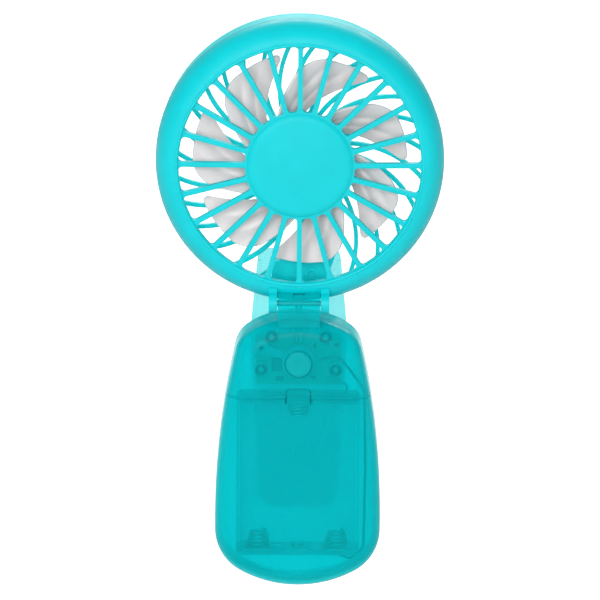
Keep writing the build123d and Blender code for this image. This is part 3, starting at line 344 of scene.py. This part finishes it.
def blade_point(u, v):
    outer = rim_radius(u)
    radius = ROOT_R + v * (outer - ROOT_R)
    front, back = table_value(FRONT_EDGE, radius), table_value(BACK_EDGE, radius)
    angle = TIP_ANGLE + radians(front + u * (back - front))
    y = BLADE_MID_Y + BLADE_HALF_DEPTH * (1 - 2 * u)
    fade = min(1.0, 4.0 * v) * min(1.0, 0.35 + 2.2 * (1 - v))
    for middle, half, depth in CREASES:
        y += depth * fade * exp(-(((u - middle) / half) ** 2))
    return on_axis(radius, angle, y)


def blade_mesh(turn):
    """Points and faces of one blade: a thin, creased, swept sheet with rounded edges."""
    turned = Matrix.Translation(HEAD) @ Matrix.Rotation(turn, 4, "Y") @ Matrix.Translation(-HEAD)
    grid = [[turned @ blade_point(eased(i / ACROSS), eased(j / OUT)) for j in range(OUT + 1)]
            for i in range(ACROSS + 1)]
    points, faces = [], []

    def normal(i, j):
        along = grid[min(i + 1, ACROSS)][j] - grid[max(i - 1, 0)][j]
        out = grid[i][min(j + 1, OUT)] - grid[i][max(j - 1, 0)]
        cross = along.cross(out)
        return cross.normalized() if cross.length > 0 else Vector((0, 1, 0))

    for side in (-1, 1):
        for i in range(ACROSS + 1):
            for j in range(OUT + 1):
                edge = min(i, ACROSS - i, OUT - j)
                half = BLADE_T / 2 * min(1.0, (0.32, 0.62, 0.85, 0.96, 1.0)[min(edge, 4)])
                points.append(grid[i][j] + side * half * normal(i, j))
    layer = (ACROSS + 1) * (OUT + 1)

    def at(i, j, side):
        return side * layer + i * (OUT + 1) + j

    for i in range(ACROSS):
        for j in range(OUT):
            faces.append((at(i, j, 0), at(i, j + 1, 0), at(i + 1, j + 1, 0), at(i + 1, j, 0)))
            faces.append((at(i, j, 1), at(i + 1, j, 1), at(i + 1, j + 1, 1), at(i, j + 1, 1)))
        faces.append((at(i, OUT, 0), at(i, OUT, 1), at(i + 1, OUT, 1), at(i + 1, OUT, 0)))
        faces.append((at(i, 0, 0), at(i + 1, 0, 0), at(i + 1, 0, 1), at(i, 0, 1)))
    for j in range(OUT):
        faces.append((at(0, j, 0), at(0, j, 1), at(0, j + 1, 1), at(0, j + 1, 0)))
        faces.append((at(ACROSS, j, 0), at(ACROSS, j + 1, 0), at(ACROSS, j + 1, 1), at(ACROSS, j, 1)))
    return points, faces


def lathe(profile, steps=96):
    """Points and faces of a closed profile of (y, radius) turned about the rotor's axis."""
    points = [on_axis(r, 2 * pi * k / steps, y) for k in range(steps) for y, r in profile]
    n = len(profile)
    faces = []
    for k in range(steps):
        ahead = (k + 1) % steps
        for i in range(n):
            j = (i + 1) % n
            faces.append((k * n + i, ahead * n + i, ahead * n + j, k * n + j))
    return points, faces


cup_profile = [
    (-7.6, 1.0), (-7.6, 12.6), (-7.55, 13.2), (-7.3, 13.9), (-6.9, 14.4), (-6.3, 14.72), (-5.7, 14.8),
    (2.2, 14.8), (2.45, 14.6), (2.5, 14.3), (2.5, 13.7), (2.3, 13.45), (2.0, 13.4), (-5.6, 13.4),
    (-6.0, 13.2), (-6.2, 12.8), (-6.2, 2.9), (-5.9, 2.6), (-3.3, 2.6), (-3.2, 2.4), (-3.2, 1.0),
]
rotor_points, rotor_faces = lathe([(y * MM, r * MM) for y, r in cup_profile])
for k in range(BLADES):
    points, faces = blade_mesh(2 * pi * k / BLADES)
    base = len(rotor_points)
    rotor_points = rotor_points + points
    rotor_faces = rotor_faces + [tuple(base + v for v in face) for face in faces]
impeller = mesh_piece("impeller_blades", rotor_points, rotor_faces, blade_plastic)
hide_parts("impeller")
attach(impeller, "rotor")

# ---------------------------------------------------------------- leads across the fold

pair_low, pair_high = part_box("motor_leads_hinge")
LEAD_R = 0.5 * MM
LEAD_X = pair_high.x - LEAD_R          # each lead's distance from the middle
LEAD_ROUTE = ((-8.35, 54.5), (-10.5, 59.2), (-10.5, 63.1), (-8.1, 63.1))     # depth and height
LEAD_CORNERS = [Vector((0, y * MM, z * MM)) for y, z in LEAD_ROUTE]
LEAD_STEPS, LEAD_SIDES, LEAD_ROUNDS = 14, 10, 8


def softened(corners):
    """A polyline in small steps, with its corners rounded off."""
    line = [a.lerp(b, k / LEAD_STEPS) for a, b in zip(corners, corners[1:]) for k in range(LEAD_STEPS)]
    line.append(corners[-1].copy())
    for _ in range(LEAD_ROUNDS):
        inner = [(a + 2 * b + c) / 4 for a, b, c in zip(line, line[1:], line[2:])]
        line = [line[0]] + inner + [line[-1]]
    return line


def lead_tube(line, x):
    """Points and faces of one round lead that runs along a line at a distance from the middle."""
    points, faces = [], []
    for k, place in enumerate(line):
        along = (line[min(k + 1, len(line) - 1)] - line[max(k - 1, 0)]).normalized()
        side = Vector((1, 0, 0))
        over = along.cross(side)
        for n in range(LEAD_SIDES):
            turn = 2 * pi * n / LEAD_SIDES
            points.append(place + x * side + LEAD_R * (cos(turn) * side + sin(turn) * over))
    for k in range(len(line) - 1):
        for n in range(LEAD_SIDES):
            a, b = k * LEAD_SIDES + n, k * LEAD_SIDES + (n + 1) % LEAD_SIDES
            faces.append((a, b, b + LEAD_SIDES, a + LEAD_SIDES))
    faces.append(tuple(reversed(range(LEAD_SIDES))))
    faces.append(tuple(range(len(points) - LEAD_SIDES, len(points))))
    return points, faces


lead_line = softened(LEAD_CORNERS)
lead_points, lead_faces = lead_tube(lead_line, -LEAD_X)
points, faces = lead_tube(lead_line, LEAD_X)
lead_faces += [tuple(len(lead_points) + v for v in face) for face in faces]
lead_points += points
leads = mesh_piece("leads_over_fold", lead_points, lead_faces, pair_sleeve)
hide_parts("motor_leads_hinge")
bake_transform(leads)

# ---------------------------------------------------------------- floor, light and camera

FLOOR_Z = -0.16
floor_mesh = bpy.data.meshes.new("floor")
HALF_FLOOR = 8.0
FLOOR_GREY = 0.6
FLOOR_GLOW = 0.82        # lifts the paper to near white without lighting the object
floor_mesh.from_pydata(
    [(-HALF_FLOOR, -HALF_FLOOR, FLOOR_Z), (HALF_FLOOR, -HALF_FLOOR, FLOOR_Z),
     (HALF_FLOOR, HALF_FLOOR, FLOOR_Z), (-HALF_FLOOR, HALF_FLOOR, FLOOR_Z)],
    [], [(0, 1, 2, 3)],
)
floor = bpy.data.objects.new("floor", floor_mesh)
bpy.context.scene.collection.objects.link(floor)
floor_material, floor_tree = new_material("floor_paper")
floor_shader = add_node(floor_tree, "ShaderNodeBsdfPrincipled", Roughness=0.9)
floor_shader.inputs["Base Color"].default_value = grey(FLOOR_GREY)
floor_shader.inputs["Emission Color"].default_value = grey(1)
floor_shader.inputs["Emission Strength"].default_value = FLOOR_GLOW
floor_out = add_node(floor_tree, "ShaderNodeOutputMaterial")
floor_tree.links.new(floor_shader.outputs["BSDF"], floor_out.inputs["Surface"])
floor_mesh.materials.append(floor_material)
floor.visible_diffuse = False

SKY_STRENGTH = 0.45
world = bpy.data.worlds.new("studio")
bpy.context.scene.world = world
world.use_nodes = True
background = world.node_tree.nodes["Background"]
background.inputs["Color"].default_value = grey(1)
background.inputs["Strength"].default_value = SKY_STRENGTH


def area_light(name, place, aim, size, power):
    light = bpy.data.lights.new(name, "AREA")
    light.shape = "RECTANGLE"
    light.size, light.size_y = size
    light.energy = power
    lamp = bpy.data.objects.new(name, light)
    lamp.location = place
    lamp.rotation_euler = (Vector(aim) - Vector(place)).to_track_quat("-Z", "Y").to_euler()
    bpy.context.scene.collection.objects.link(lamp)


MIDDLE = (0, 0, 0.06)
HEAD_FOOT = (0, 0, 0.09)
area_light("key", (-0.5, -0.8, 0.9), MIDDLE, (0.45, 0.45), 1.6)
area_light("front", (-0.2, -2.2, 0.7), HEAD_FOOT, (1.3, 1.0), 38.0)
area_light("back", (0.2, 1.6, 0.9), HEAD_FOOT, (1.2, 0.8), 15.0)

ELEVATION = radians(15)
DISTANCE = 5.0
PIXEL = 0.3855 * MM          # one picture pixel, at the object
FRAME_PIXELS = 600
AIM_Z = 59.2 * MM
AIM_X = 0.4 * MM
ROLL = radians(0.4)

camera_data = bpy.data.cameras.new("camera")
camera_data.sensor_width = 36.0
camera_data.lens = camera_data.sensor_width * DISTANCE / (PIXEL * FRAME_PIXELS)
camera_data.clip_start = 0.05
camera_data.clip_end = 30
camera = bpy.data.objects.new("camera", camera_data)
camera.location = (AIM_X, -DISTANCE * cos(ELEVATION), AIM_Z + DISTANCE * sin(ELEVATION))
camera.rotation_euler = (pi / 2 - ELEVATION, 0, 0)
camera.rotation_euler = (camera.rotation_euler.to_matrix() @ Matrix.Rotation(ROLL, 3, "Z")).to_euler()
bpy.context.scene.collection.objects.link(camera)
bpy.context.scene.camera = camera
bpy.context.scene.view_settings.view_transform = "Standard"
